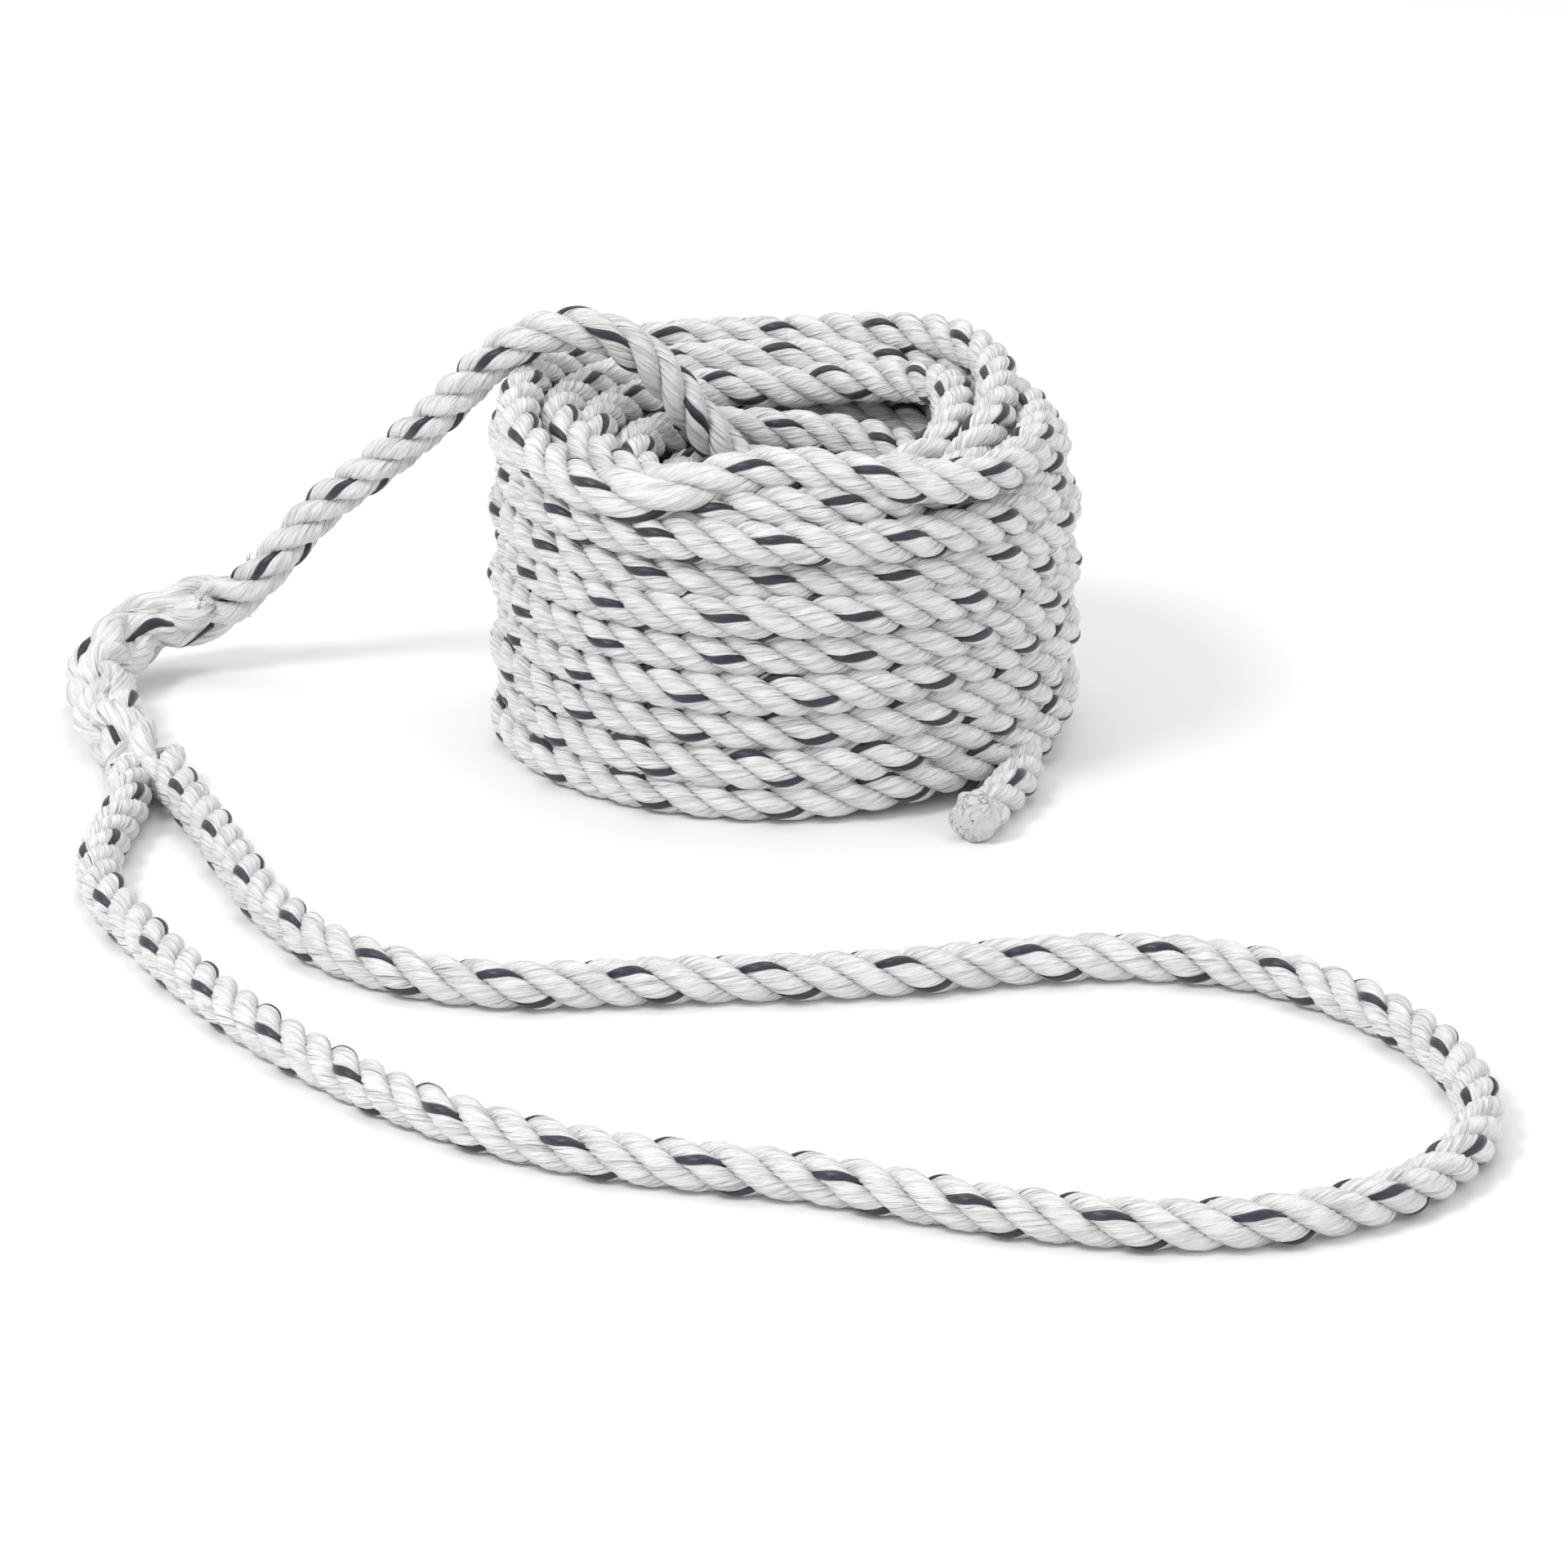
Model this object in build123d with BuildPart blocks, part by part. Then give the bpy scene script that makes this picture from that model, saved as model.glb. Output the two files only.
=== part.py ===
"""A coiled dock line: one three-strand laid rope, wound into a squat round coil.

A leg leaves the inside of the coil, passes over its rim and comes down to an eye splice.
The large eye lies on the floor in front, and the heat-sealed bitter end sticks out low at the coil's side.
Millimetres, +Z up. The origin is on the coil's axis, at the floor that it stands on. The eye lies towards -Y.
"""

import os
from math import pi, radians, tan

from build123d import *

os.makedirs("parts", exist_ok=True)

# --- driving dimensions -------------------------------------------------------------------
rope_diameter = 9.5
rope_radius = rope_diameter / 2

coil_radius = 6.5 * rope_diameter  # outside of the outermost turns
coil_hole_radius = 2.1 * rope_diameter  # inside of the innermost turns
coil_shoulder_height = 7.6 * rope_diameter  # top of the outermost layer
coil_crown_height = 8.2 * rope_diameter  # top of the loose turn that lies on the rim
coil_crown_radius = 4.9 * rope_diameter
coil_mouth_height = 5.6 * rope_diameter  # where the funnel meets the hole

splice_radius = 0.75 * rope_diameter
splice_end_radius = 0.55 * rope_diameter
splice_height = 0.78 * rope_diameter  # of the splice's centre line where it lies on the floor

seal_length = 0.55 * rope_diameter

largest_share = 0.45  # of the shorter run that a corner's arc takes, at each end

# --- route points, in order from the eye's throat to the bitter end -------------------------
floor = rope_radius
lift = 0.55 * rope_diameter  # height of the two branches where they meet the splice

# The eye: out along the near branch, round the bight and back along the far branch.
eye_route = [
    (-137, -43, lift),
    (-134, -58, lift),
    (-138, -79, floor),
    (-138, -104, floor),
    (-126, -131, floor),
    (-112, -159, floor),
    (-92, -190, floor),
    (-64, -221, floor),
    (-32, -240, floor),
    (4, -247, floor),
    (38, -264, floor),
    (76, -271, floor),
    (109, -258, floor),
    (127, -231, floor),
    (127, -199, floor),
    (113, -168, floor),
    (89, -145, floor),
    (56, -141, floor),
    (18, -152, floor),
    (-22, -154, floor),
    (-57, -159, floor),
    (-86, -144, floor),
    (-103, -116, floor),
    (-113, -84, floor),
    (-124, -56, lift),
    (-127, -41, lift),
]

# The splice: along the floor, then curling round and up towards the coil.
splice_route = [
    (-132, -42, splice_height),
    (-136, -22, splice_height),
    (-145, -3, splice_height),
    (-149, 19, 9),
    (-142, 39, 11.5),
    (-124, 48, 17),
    (-108, 43, 30),
]

# The leg: up over the rim in a low hump, and down into the hole to the first turn.
leg_route = [
    (-108, 43, 30),
    (-98.4, 40, 37.8),
    (-87, 31, 49),
    (-76, 23, 61),
    (-67, 18, 72),
    (-59, 14.5, 80.5),
    (-48, 12.5, 85.5),
    (-36.5, 11.5, 84.5),
    (-26, 11.5, 78),
    (-18, 12, 68.5),
    (-10, 13, 58),
    (0, 12, 48.5),
    (12, 6, 43),
    (20, -6, 41),
]

# The bitter end: off the lowest turn and out over the floor.
tail_route = [
    (56, 9, floor),
    (57, -11, floor),
    (53, -33, floor),
    (45.5, -51, floor),
    (40, -65, floor),
]


def corner_radii(points):
    """One radius for each corner: the arcs take the same share of the shorter run beside them."""
    radii = []
    for before, here, after in zip(points, points[1:], points[2:]):
        arriving = Vector(here) - Vector(before)
        leaving = Vector(after) - Vector(here)
        half_turn = radians(arriving.get_angle(leaving)) / 2
        radii.append(largest_share * min(arriving.length, leaving.length) / tan(half_turn))
    return radii


def report(name, tube, path, radii, section_radius):
    """Prints a tube's arcs in rope diameters, and its volume beside its section times its length."""
    path_length = path.wires()[0].length
    expected = pi * section_radius**2 * path_length
    tightest = min(radii) / rope_diameter
    print(f"{name}: length {path_length:.1f}, tightest arc {tightest:.1f} diameters")
    print(f"  arcs {[round(r) for r in radii]}")
    print(f"  volume {tube.volume:.0f}, section x length {expected:.0f}")


# --- the coil: one closed body with the outer shape of its turns ------------------------------
with BuildPart() as coil:
    with BuildSketch(Plane.XZ) as coil_section:
        with BuildLine():
            Polyline(
                (coil_hole_radius, 0),
                (coil_radius, 0),
                (coil_radius, coil_shoulder_height - rope_radius),
                (coil_radius - rope_radius, coil_shoulder_height),
                (coil_crown_radius, coil_crown_height),
                (coil_crown_radius - rope_diameter, coil_shoulder_height),
                (coil_hole_radius, coil_mouth_height),
                close=True,
            )
        make_face()
        outer_base_corner = coil_section.vertices().group_by(Axis.X)[-1].sort_by(Axis.Y)[0]
        fillet(outer_base_corner, radius=rope_radius)
    revolve(axis=Axis.Z)
coil.part.label = "coil"
export_step(coil.part, "parts/coil.step")
print(f"coil: volume {coil.part.volume:.0f}")

# --- the eye splice: a thick body, chamfered where the leg leaves it ------------------------------------
splice_radii = corner_radii(splice_route)
with BuildPart() as eye_splice:
    with BuildLine() as splice_path:
        FilletPolyline(*splice_route, radius=splice_radii)
    with BuildSketch(Plane(origin=splice_path.line @ 0, z_dir=splice_path.line % 0)):
        Circle(splice_radius)
    sweep()
    round_edges = eye_splice.edges().filter_by(GeomType.CIRCLE)
    end_rims = round_edges.filter_by(lambda edge: edge.length > pi * splice_radius)
    chamfer(end_rims.sort_by(Axis.Z)[-1], length=splice_radius - splice_end_radius)
eye_splice.part.label = "eye_splice"
export_step(eye_splice.part, "parts/eye_splice.step")
report("eye_splice", eye_splice.part, splice_path.line, splice_radii, splice_radius)

# --- the eye: the rope's loop on the floor -----------------------------------------------------
eye_radii = corner_radii(eye_route)
with BuildPart() as eye_loop:
    with BuildLine() as eye_path:
        FilletPolyline(*eye_route, radius=eye_radii)
    with BuildSketch(Plane(origin=eye_path.line @ 0, z_dir=eye_path.line % 0)):
        Circle(rope_radius)
    sweep()
report("eye_loop", eye_loop.part, eye_path.line, eye_radii, rope_radius)
eye_loop.part.label = "eye_loop"
export_step(eye_loop.part, "parts/eye_loop.step")

# --- the leg: from the splice over the rim into the hole ---------------------------------------
leg_radii = corner_radii(leg_route)
with BuildPart() as leg:
    with BuildLine() as leg_path:
        FilletPolyline(*leg_route, radius=leg_radii)
    with BuildSketch(Plane(origin=leg_path.line @ 0, z_dir=leg_path.line % 0)):
        Circle(rope_radius)
    sweep()
report("leg", leg.part, leg_path.line, leg_radii, rope_radius)
with leg:
    add(coil.part, mode=Mode.SUBTRACT)
leg.part.label = "leg"
export_step(leg.part, "parts/leg.step")

# --- the bitter end and its melted seal --------------------------------------------------------
tail_radii = corner_radii(tail_route)
with BuildPart() as tail:
    with BuildLine() as tail_path:
        FilletPolyline(*tail_route, radius=tail_radii)
    with BuildSketch(Plane(origin=tail_path.line @ 0, z_dir=tail_path.line % 0)):
        Circle(rope_radius)
    sweep()
report("tail", tail.part, tail_path.line, tail_radii, rope_radius)
with tail:
    add(coil.part, mode=Mode.SUBTRACT)
tail.part.label = "tail"
export_step(tail.part, "parts/tail.step")

with BuildPart() as melted_end:
    with BuildSketch(Plane(origin=tail_path.line @ 1, z_dir=tail_path.line % 1)):
        Circle(rope_radius)
    extrude(amount=seal_length)
    fillet(melted_end.edges().sort_by(Axis.Y)[0], radius=seal_length / 2)
melted_end.part.label = "melted_end"
export_step(melted_end.part, "parts/melted_end.step")
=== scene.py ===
"""The looks of a coiled dock line: a white three-strand rope with two dark tracer yarns in one strand.

The whole rope follows one smooth route: round the eye, through the splice, up the leg, down into the coil
and through all of its turns to the melted bitter end. Every strand is a mesh with a ridge for each yarn.
Metres, unless a comment says rope diameters.
"""

import math

import bpy
import numpy as np
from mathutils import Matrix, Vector


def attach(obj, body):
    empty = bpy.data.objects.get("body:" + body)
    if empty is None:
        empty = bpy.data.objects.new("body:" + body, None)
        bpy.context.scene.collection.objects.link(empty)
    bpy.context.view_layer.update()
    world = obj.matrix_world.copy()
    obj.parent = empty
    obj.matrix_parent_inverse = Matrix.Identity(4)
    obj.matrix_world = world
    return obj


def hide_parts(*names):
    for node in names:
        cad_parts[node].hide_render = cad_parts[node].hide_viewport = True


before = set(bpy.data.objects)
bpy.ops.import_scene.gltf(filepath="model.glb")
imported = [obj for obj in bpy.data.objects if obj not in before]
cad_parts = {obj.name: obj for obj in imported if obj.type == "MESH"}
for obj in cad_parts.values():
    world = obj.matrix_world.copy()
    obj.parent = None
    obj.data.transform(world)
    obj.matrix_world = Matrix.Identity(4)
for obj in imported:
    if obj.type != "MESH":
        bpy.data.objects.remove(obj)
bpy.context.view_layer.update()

# --- driving dimensions ---------------------------------------------------------------------
DIAMETER = 0.0095
LAY = 2.7  # rope diameters in which a strand goes once round the rope
STRAND_ORBIT = 0.252  # radius, in rope diameters, of the circle that the strands' centres follow
STRAND_HALF_DEPTH = 0.25  # half of a strand's thickness, in diameters, towards the rope's centre
STRAND_HALF_WIDTH = 0.3  # half of a strand's width, in diameters, round the rope
YARNS = 10  # on the outside of each strand
YARN_RELIEF = 0.13  # depth of the grooves between them, as a share of the strand's radius
YARN_TURNS = 2  # turns that the yarns make in their strand, against the lay, in one lay length
YARN_OFFSET = 1.1  # radians by which each strand's yarns are turned from the last strand's
TRACER_YARNS = (0, 5)  # of the first strand
# A tracer's cross-section: places round the strand, in yarns, and radii as shares of the strand's.
TRACER_AROUND = np.array([-0.1, 0.1, 0.5, 0.9, 1.1])
TRACER_RADII = np.array([0.955, 1.03, 1.05, 1.03, 0.955])
RINGS = 10  # cross-sections in each diameter of rope

# --- camera ---------------------------------------------------------------------------------
camera_data = bpy.data.cameras.new("camera")
camera_data.lens = 157.5
camera_data.sensor_width = 36
camera = bpy.data.objects.new("camera", camera_data)
camera.location = (-0.0006, -1.3756, 0.5027)
camera.rotation_euler = (math.radians(69.452), 0, 0)
bpy.context.scene.collection.objects.link(camera)
bpy.context.scene.camera = camera

# --- the rope's route -----------------------------------------------------------------------
FLOOR = 0.00475  # height of the centre line where the rope lies on the floor
LIFT = 0.0052  # its height where the eye's two branches meet the splice

# The eye: out along the near branch, round the bight and back along the far branch.
EYE_ROUTE = [
    (-0.137, -0.043, LIFT), (-0.134, -0.058, LIFT), (-0.138, -0.079, FLOOR), (-0.138, -0.104, FLOOR),
    (-0.126, -0.131, FLOOR), (-0.112, -0.159, FLOOR), (-0.092, -0.190, FLOOR), (-0.064, -0.221, FLOOR),
    (-0.032, -0.240, FLOOR), (0.004, -0.247, FLOOR), (0.038, -0.264, FLOOR), (0.076, -0.271, FLOOR),
    (0.109, -0.258, FLOOR), (0.127, -0.231, FLOOR), (0.127, -0.199, FLOOR), (0.113, -0.168, FLOOR),
    (0.089, -0.145, FLOOR), (0.056, -0.141, FLOOR), (0.018, -0.152, FLOOR), (-0.022, -0.154, FLOOR),
    (-0.057, -0.159, FLOOR), (-0.086, -0.144, FLOOR), (-0.103, -0.116, FLOOR), (-0.113, -0.084, FLOOR),
    (-0.123, -0.057, LIFT), (-0.1295, -0.041, LIFT),
]
# The splice: along the floor, then curling round and up towards the coil.
SPLICE_ROUTE = [
    (-0.141, -0.023, 0.0074), (-0.146, -0.004, 0.0074), (-0.1475, 0.014, 0.0083), (-0.1445, 0.0275, 0.0098),
    (-0.137, 0.035, 0.0115), (-0.1265, 0.0368, 0.014), (-0.1165, 0.0350, 0.0192), (-0.1090, 0.0345, 0.0285),
]
# The leg: up over the rim in a low hump, and down into the hole to the first turn.
LEG_ROUTE = [
    (-0.0995, 0.034, 0.0395), (-0.087, 0.0275, 0.0505), (-0.076, 0.023, 0.061), (-0.067, 0.018, 0.072),
    (-0.059, 0.0145, 0.0805), (-0.0485, 0.0125, 0.0852), (-0.038, 0.0115, 0.0848), (-0.0285, 0.0115, 0.0785),
    (-0.0205, 0.012, 0.0675), (-0.0125, 0.0130, 0.0565), (-0.003, 0.0140, 0.0495), (0.0069, 0.0136, 0.0455),
    (0.0158, 0.0086, 0.0428), (0.0213, -0.0004, 0.0412), (0.0212, -0.0110, 0.0398),
]
# The bitter end: off the lowest turn and out over the floor.
TAIL_ROUTE = [
    (0.0495, -0.033, FLOOR), (0.0475, -0.0445, FLOOR), (0.0435, -0.056, FLOOR), (0.039, -0.0655, FLOOR),
]

# The coil, wound clockwise as seen from above. Each entry is a count of turns, and the turn's radius and
# height there in diameters. A whole count is at the front, and the count is 0 where the outer layer starts.
TURN_POINTS = 24  # control points in each turn
COIL_START = -27.125
COIL_END = 8 + 20 / TURN_POINTS
SPLINE_INSET = 0.994  # a quadratic spline's radius as a share of its control points' radius
LOWEST_ROW = 0.5  # height of a turn that lies on the floor
# Four layers, from the hole outwards: down, up, down and up.
INNER_LAYERS = [
    (-27.125, 2.45, 4.1), (-27, 2.5, 4.5), (-26.85, 2.6, 5.3), (-26.75, 2.6, 5.65), (-26.65, 2.6, 5.6),
    (-26.5, 2.6, 5.25), (-25.75, 2.6, 4.2), (-25, 2.6, 1.8), (-24, 2.6, 0.5),
    (-23.4, 3.45, 0.5), (-18, 3.4, 5.6), (-17.75, 3.4, 6.55), (-17.5, 3.45, 5.88), (-17, 3.5, 5.6),
    (-16.75, 4.25, 6.1), (-16.5, 4.3, 5.5), (-10.6, 4.3, 0.5),
    (-10.1, 5.15, 0.5), (-4.25, 5.1, 6.0), (-4, 5.1, 6.1), (-3.75, 5.1, 6.45),
]
# The crown: three and a half turns that wander over the rim.
TOP_TURNS = [
    (-3.5, 5.85, 6.7), (-3.25, 5.85, 6.65), (-3.125, 5.3, 6.0), (-3, 4.7, 6.0), (-2.9, 4.4, 6.0),
    (-2.75, 4.25, 7.0), (-2.5, 4.4, 6.6), (-2.375, 4.2, 7.2), (-2.25, 3.6, 7.7), (-2.125, 4.2, 7.3),
    (-2.04, 4.4, 6.9), (-2, 4.4, 6.75), (-1.9, 4.35, 6.75), (-1.84, 4.7, 7.0), (-1.75, 5.05, 7.3),
    (-1.5, 5.0, 7.1), (-1.375, 5.2, 7.1), (-1.25, 5.45, 7.3), (-1.167, 5.8, 7.3), (-1.125, 6.1, 7.3),
    (-1.083, 5.95, 7.45), (-1.042, 5.35, 7.65), (-1, 4.95, 7.75), (-0.958, 5.25, 7.6), (-0.917, 5.95, 7.1),
    (-0.875, 6.25, 7.1), (-0.833, 6.25, 7.4), (-0.75, 5.9, 7.7), (-0.5, 5.9, 7.34), (-0.375, 5.3, 8.0),
    (-0.25, 4.6, 7.85), (-0.167, 4.75, 7.5), (-0.11, 5.2, 6.9), (-0.05, 5.45, 6.95),
]
# The outer layer: radius and height of each row at the front, from the top down.
FRONT_ROWS = [
    (5.5, 7.03), (5.95, 6.35), (5.6, 5.42), (6.0, 4.72), (5.8, 3.8),
    (6.0, 2.95), (5.8, 2.07), (6.0, 1.24), (5.85, 0.5),
]
SIDE_PITCHES = {0.25: 0.806, 0.5: 0.69, 0.75: 0.685}  # between the rows at the left, back and right
SIDE_RADII = {0.25: 6.1, 0.5: 5.9, 0.75: 5.95}
SIDE_STAGGER = {0.25: -0.1, 0.5: 0.2, 0.75: 0.15}  # odd rows stand out by this much, and even rows in
CROWN_DIP = [(0.09, 5.25, 6.5), (0.16, 5.6, 6.6)]  # where the first row dips below the crown's end


def outer_layer():
    """The outer layer's entries: row by row, at the front, left, back and right."""
    entries = []
    last = len(FRONT_ROWS) - 1
    for row, (radius, height) in enumerate(FRONT_ROWS):
        entries.append((row, radius, height))
        if row == 0:
            entries += CROWN_DIP
        for part, pitch in SIDE_PITCHES.items():
            side = SIDE_RADII[part] + SIDE_STAGGER[part] * (1 if row % 2 else -1)
            entries.append((row + part, side, LOWEST_ROW + pitch * (last - row)))
    return entries


def coil_points():
    """Control points for all the coil's turns."""
    counts, radii, heights = zip(*(INNER_LAYERS + TOP_TURNS + outer_layer()))
    points = []
    for step in range(round((COIL_END - COIL_START) * TURN_POINTS) + 1):
        count = COIL_START + step / TURN_POINTS
        angle = -math.pi / 2 - 2 * math.pi * count
        radius = np.interp(count, counts, radii) * DIAMETER / SPLINE_INSET
        height = np.interp(count, counts, heights) * DIAMETER
        points.append((radius * math.cos(angle), radius * math.sin(angle), height))
    return points


def read_route(points):
    """The points of a smooth spline through the whole route, as Blender evaluates it."""
    curve = bpy.data.curves.new("route", "CURVE")
    curve.dimensions = "3D"
    spline = curve.splines.new("NURBS")
    spline.points.add(len(points) - 1)
    for target, point in zip(spline.points, points):
        target.co = (*point, 1)
    spline.order_u = 3
    spline.use_endpoint_u = True
    spline.resolution_u = 12
    holder = bpy.data.objects.new("route", curve)
    bpy.context.scene.collection.objects.link(holder)
    line = bpy.data.meshes.new_from_object(holder)
    found = np.empty(len(line.vertices) * 3)
    line.vertices.foreach_get("co", found)
    bpy.data.objects.remove(holder)
    bpy.data.meshes.remove(line)
    return found.reshape(-1, 3)


def unit(vectors):
    return vectors / np.linalg.norm(vectors, axis=-1, keepdims=True)


class Route:
    """The rope's centre line at even stations, with two directions across it that don't twist."""

    def __init__(self, control_points):
        sampled = read_route(control_points)
        steps = np.linalg.norm(np.diff(sampled, axis=0), axis=1)
        travelled = np.concatenate([[0], np.cumsum(steps)])
        self.length = travelled[-1]
        count = round(self.length / DIAMETER * RINGS) + 1
        self.travel = np.linspace(0, self.length, count)
        self.points = np.stack(
            [np.interp(self.travel, travelled, sampled[:, k]) for k in range(3)], axis=1
        )
        self.along = unit(np.gradient(self.points, axis=0))
        self.side = np.empty_like(self.points)
        side = np.cross(self.along[0], (0, 0, 1))
        for i, tangent in enumerate(self.along):
            side = side - tangent * np.dot(side, tangent)
            side = side / np.linalg.norm(side)
            self.side[i] = side
        self.up = np.cross(self.along, self.side)
        # A quadratic spline has two spans fewer than points, and is nearest a point halfway along a span.
        spans = len(control_points) - 2
        nearest_sample = (np.arange(len(control_points)) - 0.5) * (len(sampled) - 1) / spans
        self.control_travel = np.interp(nearest_sample, np.arange(len(sampled)), travelled)

    def station(self, control_index):
        """The station beside a control point."""
        return int(round(self.control_travel[control_index] / self.length * (len(self.points) - 1)))


route = Route(EYE_ROUTE + SPLICE_ROUTE + LEG_ROUTE + coil_points() + TAIL_ROUTE)
first_coil_point = len(EYE_ROUTE + SPLICE_ROUTE + LEG_ROUTE)


def coil_station(count):
    """The station where the coil's count of turns is this."""
    return route.station(first_coil_point + round((count - COIL_START) * TURN_POINTS))


EYE_END = route.station(len(EYE_ROUTE) - 1)
SPLICE_END = route.station(len(EYE_ROUTE + SPLICE_ROUTE) - 1)
travel_d = route.travel / DIAMETER  # distance along the rope in diameters


def smooth(low, high, values):
    """0 below low, 1 above high, and an S between them."""
    share = np.clip((values - low) / (high - low), 0, 1)
    return share * share * (3 - 2 * share)


# In the splice the strands open out, and pass over and under the three tucked ones.
SPLICE_ORBIT = 0.40  # radius, in diameters, of the circle that the strands' centres follow there
TUCK_SWING = 0.15  # how far, in diameters, they swing in and out of it
STRAND_LAG = 0.4  # radians by which each strand swings later than the last
SPLICE_SWELL = 0.16  # the opened strands are this share thicker
SPLICE_LAY_RATE = 0.55  # and go round the rope at this share of the usual rate
TUCK_RATE = -0.16  # the tucked strands go round it at this share, the other way
OPENING = 2.0  # diameters of rope over which the strands open out
CLOSING = 2.4  # and over which they close again
opening_middle = travel_d[EYE_END] - 0.3
closing_end = travel_d[SPLICE_END] - 0.9
opened = smooth(opening_middle - OPENING / 2, opening_middle + OPENING / 2, travel_d)
in_splice = opened * (1 - smooth(closing_end - CLOSING, closing_end, travel_d))

# At the left end of the crown's straight front, the rope is untwisted and its strands bulge.
BULGE_COUNT = -0.917  # the coil's count of turns there
BULGE_REACH = 1.1  # in diameters along the rope
BULGE_SWELL = 0.26
BULGE_ORBIT = 0.05  # the strands stand out by this many diameters
BULGE_UNLAY = 0.45  # the share of the lay that is lost
bulge = np.exp(-(((travel_d - travel_d[coil_station(BULGE_COUNT)]) / BULGE_REACH) ** 2))
swell = 1 + SPLICE_SWELL * in_splice + BULGE_SWELL * bulge

# The lay isn't quite even: its angle wanders by a few degrees, in two waves. Each has its height in
# radians, its rate in radians for each diameter of rope, and its phase.
LAY_WANDER = [(0.12, 0.37, 0.0), (0.09, 0.91, 1.3)]
lay_rate = (1 - (1 - SPLICE_LAY_RATE) * in_splice) * (1 - BULGE_UNLAY * bulge)
lay_angle = 2 * math.pi / LAY * np.concatenate([[0], np.cumsum(lay_rate[1:] * np.diff(travel_d))])
for amount, rate, phase in LAY_WANDER:
    lay_angle = lay_angle + amount * np.sin(travel_d * rate + phase)

# The tucked strands start where the near branch's strands reach the throat.
near_out = math.cos(lay_angle[0]) * route.side[0] + math.sin(lay_angle[0]) * route.up[0]
first_tuck = math.atan2(near_out @ route.up[EYE_END], near_out @ route.side[EYE_END])
tuck_angle = first_tuck + (travel_d - travel_d[EYE_END]) * TUCK_RATE * 2 * math.pi / LAY
crossing = (lay_angle - tuck_angle) / (2 * math.pi / 3)  # counts the tucked strands that are passed


def strand_orbit(strand):
    """Distance from the rope's centre to a strand's, along the whole rope, in diameters."""
    swing = -TUCK_SWING * np.cos(math.pi * crossing + STRAND_LAG * strand)
    return STRAND_ORBIT + in_splice * (SPLICE_ORBIT - STRAND_ORBIT + swing) + BULGE_ORBIT * bulge


# The direction out of the coil at its front, as an angle round the rope.
front = coil_station(4)
front_out = unit(route.points[front] * (1, 1, 0))
facing = math.atan2(front_out @ route.up[front], front_out @ route.side[front])
TRACER_LEAD = math.pi / YARNS  # half a yarn, so that the tracer's middle comes up there


# --- meshes ---------------------------------------------------------------------------------
FLOOR_GAP = 0.0001  # what would sink into the floor is flattened this far above it


def build(name, vertices, faces, uvs, material):
    """A smooth-shaded mesh object. faces are quads, and uvs hold one pair for each corner."""
    vertices = vertices.copy()
    vertices[:, 2] = np.maximum(vertices[:, 2], FLOOR_GAP)
    mesh = bpy.data.meshes.new(name)
    mesh.vertices.add(len(vertices))
    mesh.vertices.foreach_set("co", vertices.astype(np.float32).ravel())
    mesh.loops.add(faces.size)
    mesh.loops.foreach_set("vertex_index", faces.astype(np.int32).ravel())
    mesh.polygons.add(len(faces))
    mesh.polygons.foreach_set("loop_start", np.arange(0, faces.size, 4, dtype=np.int32))
    mesh.polygons.foreach_set("loop_total", np.full(len(faces), 4, dtype=np.int32))
    layer = mesh.uv_layers.new(name="yarn")
    layer.data.foreach_set("uv", uvs.astype(np.float32).ravel())
    mesh.update(calc_edges=True)
    mesh.validate()
    mesh.polygons.foreach_set("use_smooth", np.ones(len(mesh.polygons), dtype=bool))
    mesh.materials.append(material)
    made = bpy.data.objects.new(name, mesh)
    bpy.context.scene.collection.objects.link(made)
    return made


def profile(around):
    """Radius of a strand at yarn coordinates around it: a rounded ridge on each yarn."""
    within = np.abs((around % 1.0) - 0.5) * 2
    return 1 - YARN_RELIEF * within**2.2


def strand_rings(centres, outwards, sideways, twist, around, depth, width, radius=None):
    """Rings of vertices round a strand: (rings, points, 3). around is in yarns."""
    angle = (around[None, :] / YARNS) * 2 * math.pi - twist[:, None]
    radius = (profile(around) if radius is None else radius)[None, :]
    across = (radius * np.cos(angle) * depth[:, None])[..., None] * outwards[:, None, :]
    beside = (radius * np.sin(angle) * width[:, None])[..., None] * sideways[:, None, :]
    return centres[:, None, :] + across + beside


def skin(rings, around, along, open_at=()):
    """Quads, and their texture coordinates, over rings of vertices. Yarns in open_at are left out."""
    count, points = rings.shape[:2]
    here = np.arange(points)
    ahead = (here + 1) % points
    keep = np.array([int(a) not in open_at for a in around])
    here, ahead = here[keep], ahead[keep]
    step = around[1] - around[0]
    starts = np.arange(count - 1)[:, None] * points
    next_starts = starts + points
    faces = np.stack([starts + here, starts + ahead, next_starts + ahead, next_starts + here], axis=-1)
    low = np.broadcast_to(along[:-1, None], faces.shape[:2])
    high = np.broadcast_to(along[1:, None], faces.shape[:2])
    left = np.broadcast_to(around[here][None, :], faces.shape[:2])
    right = left + step
    uvs = np.stack([left, low, right, low, right, high, left, high], axis=-1)
    return faces.reshape(-1, 4), uvs.reshape(-1, 4, 2)


def caps(rings):
    """Quads that close both ends of a strand with an even number of points."""
    points = rings.shape[1]
    faces = []
    for start, flip in ((0, True), ((len(rings) - 1) * points, False)):
        for i in range(points // 2 - 1):
            quad = [start + i, start + i + 1, start + points - 2 - i, start + points - 1 - i]
            faces.append(quad[::-1] if flip else quad)
    return np.array(faces)


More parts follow.
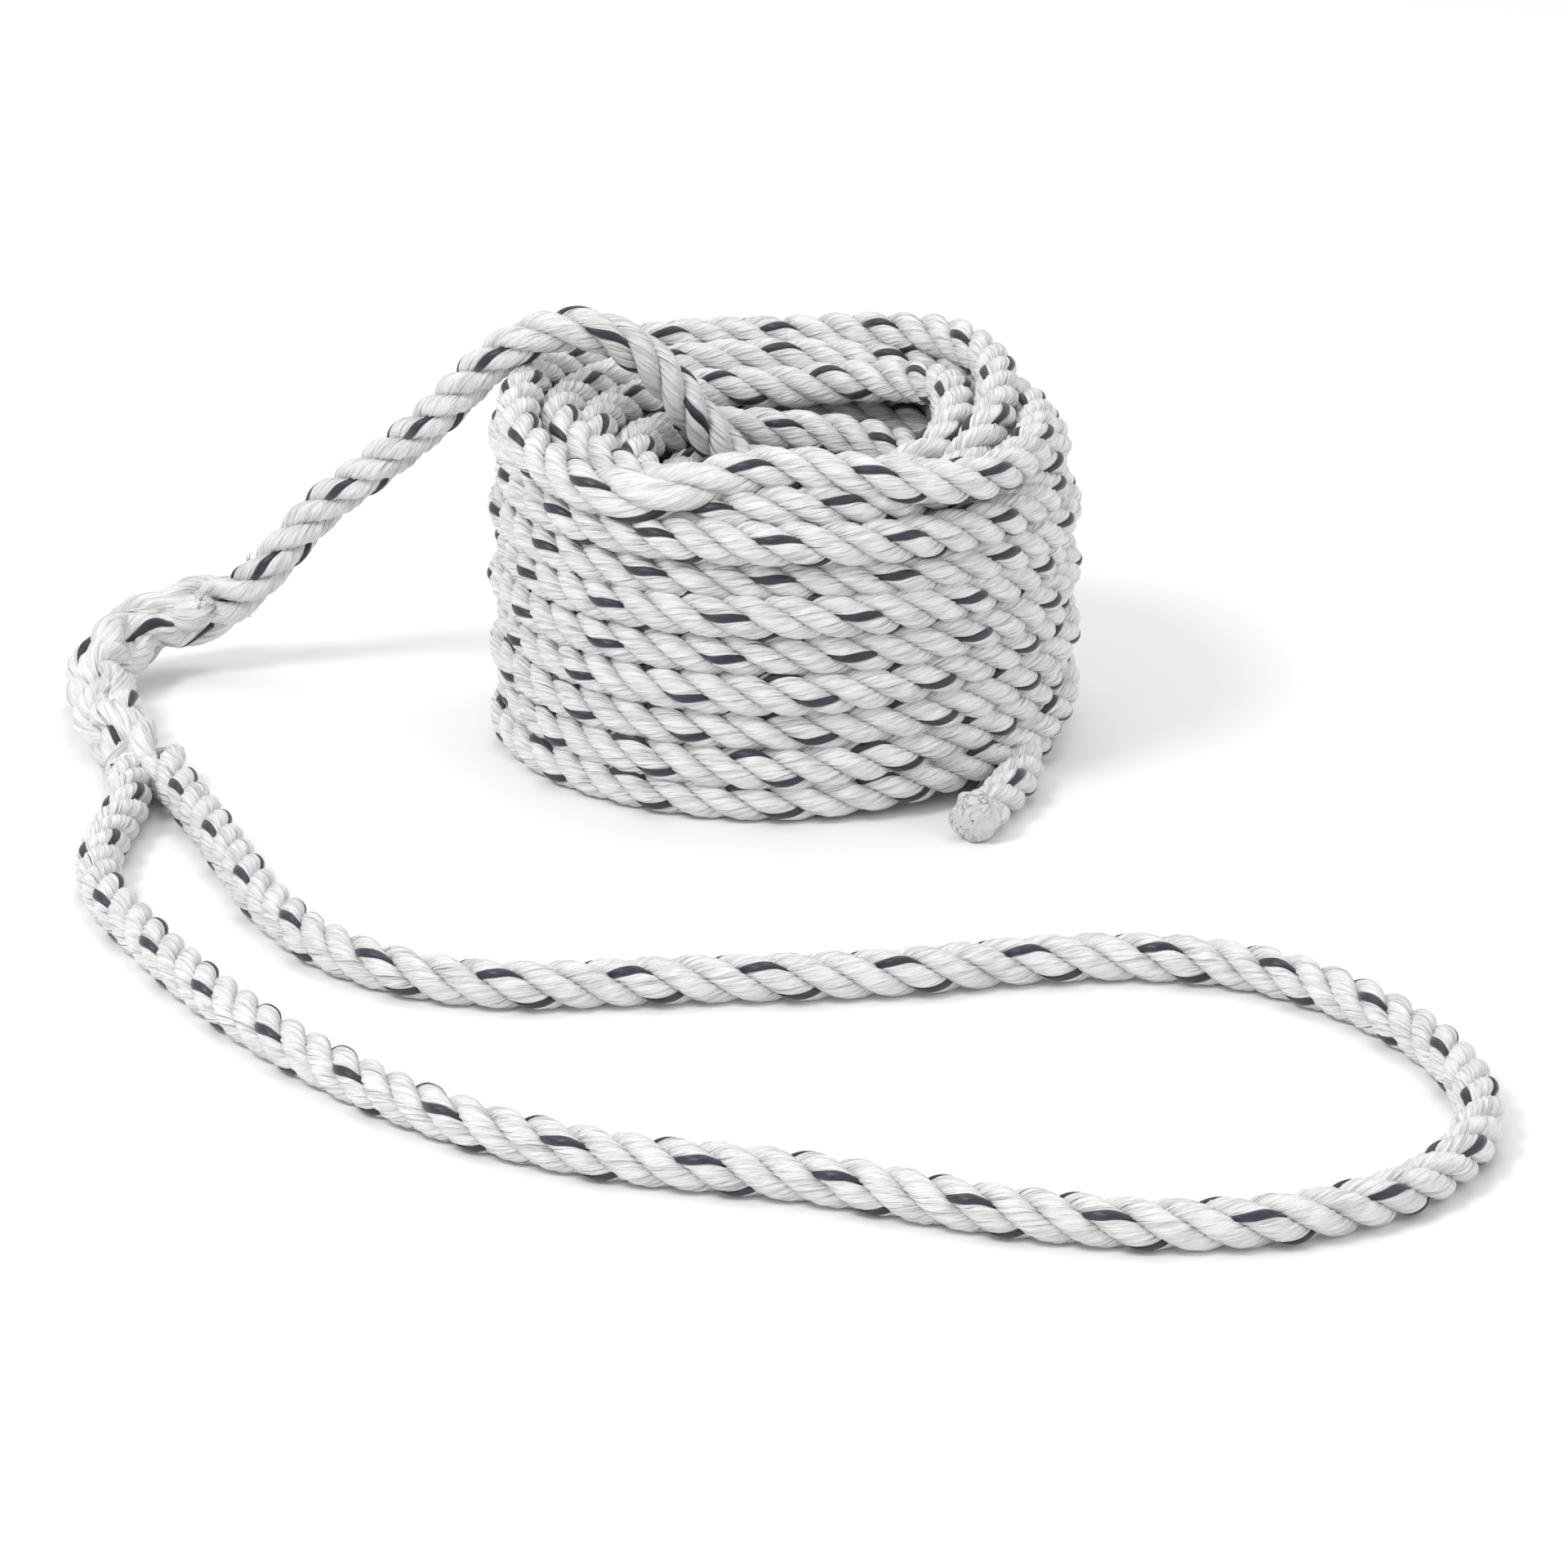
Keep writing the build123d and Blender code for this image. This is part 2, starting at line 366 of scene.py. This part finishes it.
def tube(rings, around, along, open_at=(), shift=0):
    """Vertices, faces and texture coordinates of a strand with closed ends. Its skin's texture is shifted."""
    faces, uvs = skin(rings, around, along, open_at)
    uvs[..., 0] += shift
    ends = caps(rings)
    return (
        rings.reshape(-1, 3),
        np.concatenate([faces, ends]),
        np.concatenate([uvs, np.zeros((len(ends), 4, 2))]),
    )


def build_parts(name, parts, material):
    """One mesh object of several parts, each with its own vertices, faces and texture coordinates."""
    vertices, faces, uvs = zip(*parts)
    firsts = np.cumsum([0] + [len(some) for some in vertices[:-1]])
    faces = [some + first for some, first in zip(faces, firsts)]
    return build(name, np.concatenate(vertices), np.concatenate(faces), np.concatenate(uvs), material)


def stations_between(first, last, skip):
    return np.unique(np.append(np.arange(first, last, skip), last))


def directions(angle, side, up):
    """The outward and sideways directions at angles round the rope."""
    cosine, sine = np.cos(angle)[:, None], np.sin(angle)[:, None]
    return cosine * side + sine * up, -sine * side + cosine * up


def strand_frame(strand, stations):
    """Centres, and the outward and sideways directions, of a strand of the rope at some stations."""
    angle = lay_angle[stations] + strand * 2 * math.pi / 3
    outwards, sideways = directions(angle, route.side[stations], route.up[stations])
    centres = route.points[stations] + outwards * (strand_orbit(strand)[stations] * DIAMETER)[:, None]
    return centres, outwards, sideways


def yarn_twist(strand, stations):
    """How far the yarns have turned in their strand. A tracer comes up where the first strand faces out."""
    return YARN_TURNS * (lay_angle[stations] - facing) + strand * YARN_OFFSET + TRACER_LEAD


def laid_rings(strand, stations, around, radius=None):
    """Rings of vertices round a strand of the rope, or round a part of it."""
    size = DIAMETER * swell[stations]
    return strand_rings(
        *strand_frame(strand, stations), yarn_twist(strand, stations), around,
        STRAND_HALF_DEPTH * size, STRAND_HALF_WIDTH * size, radius,
    )


def rope_piece(name, first, last, skip, points_per_yarn, material):
    """All three strands of the rope between two stations, as one mesh. The tracer yarns are left out."""
    stations = stations_between(first, last, skip)
    around = np.arange(YARNS * points_per_yarn) / points_per_yarn
    strand_shift = YARNS + 5  # so that no two strands have the same texture
    parts = []
    for strand in range(3):
        rings = laid_rings(strand, stations, around)
        open_at = TRACER_YARNS if strand == 0 else ()
        parts.append(tube(rings, around, travel_d[stations], open_at, strand * strand_shift))
    return build_parts(name, parts, material)


def tracer_piece(name, yarn, spans, material):
    """One dark yarn of the first strand, along the whole rope: a raised rib with a flat underside."""
    parts = []
    for first, last, skip in spans:
        stations = stations_between(first, last, skip)
        rings = laid_rings(0, stations, yarn + TRACER_AROUND, TRACER_RADII)
        points = len(TRACER_AROUND)
        parts.append((rings.reshape(-1, 3), *skin(rings, np.arange(points) / points, travel_d[stations])))
    return build_parts(name, parts, material)


# --- materials ------------------------------------------------------------------------------
class Nodes:
    """A short way to write a node tree."""

    def __init__(self, name):
        self.material = bpy.data.materials.new(name)
        self.material.use_nodes = True
        self.tree = self.material.node_tree
        self.shader = self.tree.nodes["Principled BSDF"]

    def add(self, kind, inputs=(), **settings):
        node = self.tree.nodes.new(kind)
        for key, value in settings.items():
            setattr(node, key, value)
        for key, value in dict(inputs).items():
            self.put(node.inputs[key], value)
        return node

    def put(self, socket, value):
        if isinstance(value, bpy.types.NodeSocket):
            self.tree.links.new(value, socket)
        else:
            socket.default_value = value

    def maths(self, operation, first, second=0.0):
        return self.add("ShaderNodeMath", {0: first, 1: second}, operation=operation).outputs[0]

    def noise(self, vector, scale, detail):
        inputs = {"Vector": vector, "Scale": scale, "Detail": detail, "Roughness": 0.55}
        return self.add("ShaderNodeTexNoise", inputs).outputs["Fac"]

    def remap(self, value, low, high, to_low=0.0, to_high=1.0):
        inputs = {0: value, 1: low, 2: high, 3: to_low, 4: to_high}
        return self.add("ShaderNodeMapRange", inputs).outputs[0]

    def vector(self, x, y):
        return self.add("ShaderNodeCombineXYZ", {0: x, 1: y}).outputs[0]

    def bump(self, height, strength, distance):
        return self.add("ShaderNodeBump", {"Height": height, "Strength": strength, "Distance": distance})

    def mix(self, share, first, second):
        node = self.add("ShaderNodeMix", {"Factor": share}, data_type="RGBA")
        self.put(node.inputs[6], first)
        self.put(node.inputs[7], second)
        return node.outputs[2]


def yarn_material(name, dark, light, roughness, fuzz):
    """Filament yarn: fine fibres that run along each yarn with a slight slant, and soft patches. Its colour
    has painted shade in their grooves and random tone besides.
    """
    bump_depth = 0.0012
    n = Nodes(name)
    place = n.add("ShaderNodeUVMap", uv_map="yarn").outputs["UV"]
    split = n.add("ShaderNodeSeparateXYZ", {0: place})
    around, along = split.outputs[0], split.outputs[1]
    slant = n.maths("ADD", n.maths("MULTIPLY", around, 2.1), n.maths("MULTIPLY", along, 0.8))
    fibres = n.noise(n.vector(slant, n.maths("MULTIPLY", along, 0.75)), 1.0, 4.0)
    wide = n.vector(n.maths("MULTIPLY", around, 0.9), n.maths("MULTIPLY", along, 0.6))
    bundles = n.noise(wide, 1.0, 2.0)
    cloth = n.noise(n.add("ShaderNodeTexCoord").outputs["Object"], 90.0, 2.0)
    # Base colour: darker where the fibres and bundles are low, just where their bumps sink, so this is
    # painted shade in the grooves. The cloth noise adds tone that varies at random.
    painted_groove_shade = n.maths("ADD", n.maths("MULTIPLY", fibres, 0.7), n.maths("MULTIPLY", bundles, 0.3))
    painted_groove_shade = n.remap(painted_groove_shade, 0.34, 0.53)
    painted_shade_and_tone = n.maths("ADD", n.maths("MULTIPLY", painted_groove_shade, 0.85), n.maths("MULTIPLY", cloth, 0.15))
    n.put(n.shader.inputs["Base Color"], n.mix(painted_shade_and_tone, dark, light))
    n.put(n.shader.inputs["Roughness"], n.remap(fibres, 0.3, 0.7, roughness + 0.12, roughness - 0.1))
    coarse = n.bump(bundles, fuzz, bump_depth)
    fine = n.bump(fibres, fuzz, bump_depth)
    n.put(fine.inputs["Normal"], coarse.outputs[0])
    n.put(n.shader.inputs["Normal"], fine.outputs[0])
    n.shader.inputs["Sheen Weight"].default_value = 0.15
    n.shader.inputs["Specular IOR Level"].default_value = 0.5
    return n.material


def melted_material():
    """Nylon that has melted and set: grey, glossy and lumpy, darker where its lumps sink, with thin dark
    lines along its creases.
    """
    n = Nodes("melted_nylon")
    place = n.add("ShaderNodeTexCoord").outputs["Object"]
    lumps = n.noise(place, 260.0, 5.0)
    wrinkles = {"Vector": place, "Scale": 330.0, "Detail": 3.0, "Distortion": 1.6}
    creases = n.add("ShaderNodeTexNoise", wrinkles).outputs[0]
    near_middle = n.maths("ABSOLUTE", n.maths("SUBTRACT", creases, 0.5))
    crease = n.remap(near_middle, 0.0, 0.035, 1.0, 0.0)
    crease = n.maths("MULTIPLY", crease, n.remap(lumps, 0.42, 0.5))
    # The body is darker where the lumps are low, where the bump sinks, and the crease lines are dark.
    body = n.mix(lumps, (0.42, 0.42, 0.42, 1), (0.82, 0.82, 0.81, 1))
    n.put(n.shader.inputs["Base Color"], n.mix(crease, body, (0.09, 0.09, 0.095, 1)))
    n.put(n.shader.inputs["Normal"], n.bump(lumps, 0.8, 0.0025).outputs[0])
    n.shader.inputs["Roughness"].default_value = 0.22
    return n.material


def plain_material(name, colour, roughness):
    n = Nodes(name)
    n.shader.inputs["Base Color"].default_value = (*colour, 1)
    n.shader.inputs["Roughness"].default_value = roughness
    return n.material


# Each yarn's dark colour is the painted shade in its grooves. Its light colour is the yarn's own.
white = yarn_material("white_rope", (0.56, 0.56, 0.555, 1), (0.93, 0.93, 0.925, 1), 0.33, 1.0)
navy = yarn_material("tracer_yarn", (0.006, 0.006, 0.011, 1), (0.026, 0.026, 0.044, 1), 0.42, 0.35)
melted = melted_material()

# --- the rope, in stretches that follow one another ---------------------------------------------
FINE, COARSE = 1, 2
STRETCHES = [
    # name, first and last station, stations skipped, points on each yarn, lay, far end
    ("rope_eye", 0, EYE_END, FINE, 2, "loose", "object"),
    ("rope_leg", EYE_END, coil_station(-26.75), FINE, 2, "loose", "object"),
    ("rope_layer_1", coil_station(-26.75), coil_station(-23.75), FINE, 2, "coiled", "object"),
    ("rope_layer_2", coil_station(-23.75), coil_station(-18.75), COARSE, 1, "coiled", "object"),
    ("rope_layer_2_top", coil_station(-18.75), coil_station(-15.75), FINE, 2, "coiled", "object"),
    ("rope_layer_3", coil_station(-15.75), coil_station(-10.5), COARSE, 1, "coiled", "object"),
    ("rope_layer_4", coil_station(-10.5), coil_station(-4.5), COARSE, 1, "coiled", "object"),
    ("rope_crown", coil_station(-4.5), coil_station(-0.5), FINE, 2, "coiled", "object"),
    ("rope_outer_top", coil_station(-0.5), coil_station(2.5), FINE, 2, "coiled", "object"),
    ("rope_outer_middle", coil_station(2.5), coil_station(5.5), FINE, 2, "coiled", "object"),
    ("rope_outer_base", coil_station(5.5), len(route.points) - 1, FINE, 2, "coiled", "bare"),
]
CAD_NODES = {
    "rope_eye": ["eye_loop"],
    "rope_leg": ["leg", "eye_splice"],
    "rope_crown": ["coil"],
    "rope_outer_base": ["tail"],
}
for name, first, last, skip, points_per_yarn, lay, far_end in STRETCHES:
    piece = rope_piece(name, first, last, skip, points_per_yarn, white)
    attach(piece, "root")
    if name in CAD_NODES:
        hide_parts(*CAD_NODES[name])
spans = [stretch[1:4] for stretch in STRETCHES]
for number, yarn in enumerate(TRACER_YARNS, 1):
    tracer = tracer_piece(f"tracer_yarn_{number}", yarn, spans, navy)
    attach(tracer, "root")


# --- the splice's tucked strands ------------------------------------------------------------------
# Lengths here are in diameters.
THROAT = 1.8  # over which a tucked strand leaves its own branch
TUCK_STOPS = (2.0, 0.8, 1.4)  # how far before the splice's end each strand is cut
TUCK_HALF_DEPTH = 0.25
TUCK_HALF_WIDTH = 0.32
LOOSE_YARNS = 16  # at each cut
LOOSE_RINGS = 6  # in each loose yarn
LOOSE_SIDES = 4
LOOSE_RADIUS = 0.05
LOOSE_TAPER = 0.8  # the share of it that is lost at the tip
LOOSE_BURIED = 0.12  # length inside the strand


def frayed_yarns(centre, along, outwards, sideways, rng):
    """Loose yarns that fan out of a cut strand: tapered tubes of four sides."""
    vertices, faces, uvs = [], [], []
    step_share = 1 / (LOOSE_RINGS - 1)
    for number in range(LOOSE_YARNS):
        turn = rng.uniform(0, 2 * math.pi)
        spread = rng.uniform(0.05, 0.22)
        rim = math.cos(turn) * outwards + math.sin(turn) * sideways
        across = -math.sin(turn) * outwards + math.cos(turn) * sideways
        reach = rng.uniform(0.25, 0.62)
        curl = rng.uniform(-0.25, 0.25)
        flare = rng.uniform(0.1, 0.55)
        for step in range(LOOSE_RINGS):
            share = step / (LOOSE_RINGS - 1)
            bend = share**2
            offset = along * (reach * share - LOOSE_BURIED) + rim * (spread + flare * reach * bend)
            middle = centre + DIAMETER * (offset + across * curl * bend)
            thick = DIAMETER * LOOSE_RADIUS * (1 - LOOSE_TAPER * bend)
            ring = (number * LOOSE_RINGS + step) * LOOSE_SIDES
            for corner in range(LOOSE_SIDES):
                at = corner * math.pi / 2
                vertices.append(middle + thick * (math.cos(at) * rim + math.sin(at) * across))
                if step < LOOSE_RINGS - 1:
                    here, ahead = ring + corner, ring + (corner + 1) % LOOSE_SIDES
                    faces.append([here, ahead, ahead + LOOSE_SIDES, here + LOOSE_SIDES])
                    high = share + step_share
                    uvs.append([[corner, share], [corner + 1, share], [corner + 1, high], [corner, high]])
        faces.append([ring, ring + 1, ring + 2, ring + 3])
        uvs.append([[0, 1]] * 4)
    return np.array(vertices), np.array(faces), np.array(uvs)


def tucked_strand(number, rng):
    """A strand of the near branch, unlaid at the throat and tucked through the splice to its frayed end."""
    cut_station = int(SPLICE_END - TUCK_STOPS[number] * RINGS)
    stations = np.arange(EYE_END, cut_station)
    reach = travel_d[stations] - travel_d[EYE_END]
    to_end = travel_d[cut_station] - travel_d[stations]

    # Inside the splice it swings in where the rope's own strands swing out, and stands out at its end.
    angle = tuck_angle[stations] - number * 2 * math.pi / 3
    tucked_out, _ = directions(angle, route.side[stations], route.up[stations])
    orbit = SPLICE_ORBIT + TUCK_SWING * np.cos(math.pi * crossing[stations] + STRAND_LAG * number)
    orbit = orbit + 0.06 * (1 - smooth(0.0, 1.3, to_end))
    tucked = route.points[stations] + tucked_out * (orbit * DIAMETER)[:, None]

    # The same strand, as it would run straight on from the near branch.
    branch_angle = lay_angle[0] - reach * math.pi / LAY + number * 2 * math.pi / 3
    branch_out, _ = directions(branch_angle, route.side[0], route.up[0])
    straight = route.points[0] - route.along[0] * (reach * DIAMETER)[:, None]
    branch = straight + branch_out * (STRAND_ORBIT * DIAMETER)

    share = smooth(0.0, THROAT, reach)[:, None]
    centres = branch * (1 - share) + tucked * share
    along = unit(np.gradient(centres, axis=0))
    outwards = branch_out * (1 - share) + tucked_out * share
    outwards = unit(outwards - along * np.sum(outwards * along, axis=1)[:, None])
    sideways = np.cross(along, outwards)

    cut = np.sqrt(np.clip(to_end / 0.5, 0.08, 1))  # the end is rounded off
    size = DIAMETER * cut * (1 + SPLICE_SWELL * smooth(0, 2, reach))
    size = size * (1 + 0.08 * np.sin(reach * 2.1 + number))  # and the strand is uneven
    twist = -reach * 1.9 + number
    around = np.arange(YARNS * 2) / 2
    rings = strand_rings(
        centres, outwards, sideways, twist, around, TUCK_HALF_DEPTH * size, TUCK_HALF_WIDTH * size
    )
    root = -RINGS // 2  # half a diameter before the cut
    frayed = frayed_yarns(centres[root], along[root], outwards[root], sideways[root], rng)
    parts = [tube(rings, around, reach), frayed]
    for _, _, uvs in parts:
        uvs[..., 0] += 60 + 20 * number  # so that no two strands have the same texture
    piece = build_parts(f"splice_strand_{number + 1}", parts, white)
    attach(piece, "root")


splice_rng = np.random.default_rng(3)
for number in range(3):
    tucked_strand(number, splice_rng)


# --- the melted end -------------------------------------------------------------------------------
# Lengths here are in diameters.
SEAL_RINGS = 18
SEAL_POINTS = 36
SEAL_START = -0.15  # beyond the rope's end
SEAL_LENGTH = 0.66
SEAL_RADIUS = 0.53
SEAL_ROUNDING = 0.45  # the share of its length from which it rounds off
SEAL_FLOOR_GAP = 0.0002  # in metres
LOBES = 7
LOBE_HEIGHT = 0.022


def seal_radius(share):
    """The melted end's radius, from inside the rope at 0 to the middle of its outer face at 1."""
    if share == 0:
        return 0.4
    if share == 1:
        return 0.02
    return SEAL_RADIUS * (1 - max(0.0, (share - SEAL_ROUNDING) / (1 - SEAL_ROUNDING)) ** 3.2) ** 0.5


def melted_end():
    """A lumpy blob over the strands' ends, flattened where it was pressed."""
    tip, heading = route.points[-1], route.along[-1]
    side, up = route.side[-1], route.up[-1]
    rng = np.random.default_rng(7)
    turn = np.linspace(0, 2 * math.pi, SEAL_POINTS, endpoint=False)
    lobes = [(rng.integers(2, 7), rng.uniform(0, 6.3), rng.uniform(0, 6.3)) for _ in range(LOBES)]
    rings = []
    for i in range(SEAL_RINGS):
        share = i / (SEAL_RINGS - 1)
        reach = SEAL_START + SEAL_LENGTH * share
        radius = seal_radius(share)
        lumps = sum(math.sin(6.5 * share + p) * np.sin(k * turn + q) for k, p, q in lobes) * LOBE_HEIGHT
        ring = (radius + lumps * min(1.0, radius / 0.3)) * DIAMETER
        across = (ring * np.cos(turn))[:, None] * side
        rings.append(tip + heading * reach * DIAMETER + across + (ring * np.sin(turn))[:, None] * up)
    rings = np.array(rings)
    rings[..., 2] = np.maximum(rings[..., 2], SEAL_FLOOR_GAP)
    around = np.arange(SEAL_POINTS).astype(float)
    piece = build_parts("melted_tip", [tube(rings, around, np.linspace(0, 1, SEAL_RINGS))], melted)
    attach(piece, "root")
    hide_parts("melted_end")


melted_end()

# --- floor and light --------------------------------------------------------------------------------
bpy.ops.mesh.primitive_plane_add(size=8)
floor = bpy.context.object
floor.name = "floor"
floor.data.materials.append(plain_material("floor", (0.93, 0.93, 0.93), 0.7))

world = bpy.data.worlds.new("world")
world.use_nodes = True
world.node_tree.nodes["Background"].inputs[0].default_value = (1, 1, 1, 1)
world.node_tree.nodes["Background"].inputs[1].default_value = 0.73
bpy.context.scene.world = world


def softbox(name, location, target, size, power):
    """A square area light that points at a target."""
    data = bpy.data.lights.new(name, "AREA")
    data.size = size
    data.energy = power
    lamp = bpy.data.objects.new(name, data)
    lamp.location = location
    lamp.rotation_euler = (Vector(target) - Vector(location)).to_track_quat("-Z", "Y").to_euler()
    bpy.context.scene.collection.objects.link(lamp)


softbox("key", (-0.9, -0.7, 1.3), (0, -0.05, 0.03), 0.5, 12)
softbox("fill", (1.3, -0.9, 0.8), (0, -0.05, 0.03), 1.0, 3.5)
softbox("top", (0.1, 0.5, 1.5), (0, -0.05, 0.03), 1.0, 5)
bpy.context.scene.view_settings.view_transform = "Standard"
